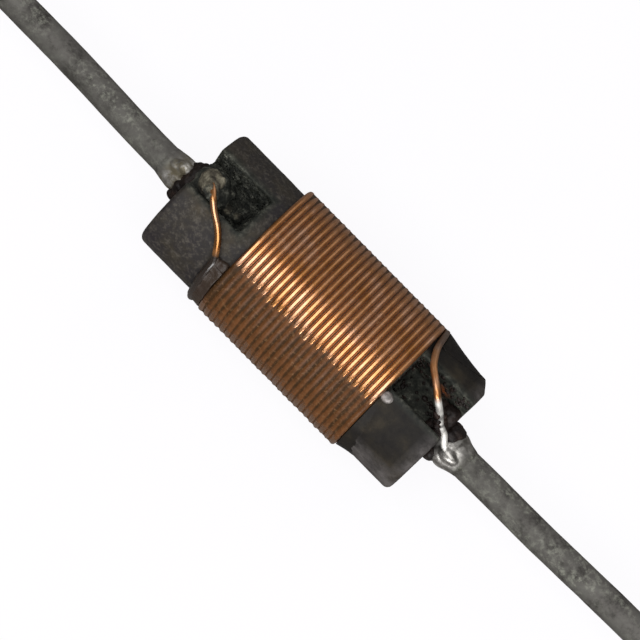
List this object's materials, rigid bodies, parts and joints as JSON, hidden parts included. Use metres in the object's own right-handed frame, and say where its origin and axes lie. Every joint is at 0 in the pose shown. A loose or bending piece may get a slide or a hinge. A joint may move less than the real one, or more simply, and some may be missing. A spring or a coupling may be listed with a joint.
{
  "type": "axial inductor",
  "caption": "Axial choke: a slotted ferrite rod with one layer of enamelled copper wire, its tails soldered to thick tinned leads at both ends.",
  "frame": {"origin": "middle of the ferrite rod, on its axis", "axes": "+X along the rod towards the lead where the finish tail ends; both slots open to +Z; +Y completes the right-handed frame"},
  "size_m": [0.0616, 0.004, 0.0041],
  "materials": {
    "ferrite": "sintered and ground, charcoal, slightly dusty",
    "enamelled_copper": "clear amber enamel over copper",
    "tinned_copper": "dull tinned",
    "solder": "lumpy, half bright",
    "pale_cement": "rough, grainy",
    "dark_resin": "dark, glossy",
    "lacquer": "clear brown lacquer"
  },
  "bodies": {
    "root": {"ferrite_core": "ferrite", "winding_wire": "enamelled_copper", "lead_left": "tinned_copper", "lead_right": "tinned_copper", "solder_left": "solder", "solder_right": "solder", "cement_left": "pale_cement", "cement_right": "dark_resin", "lacquer_bead_left": "lacquer", "lacquer_bead_right": "dark_resin"}
  },
  "joints": []
}
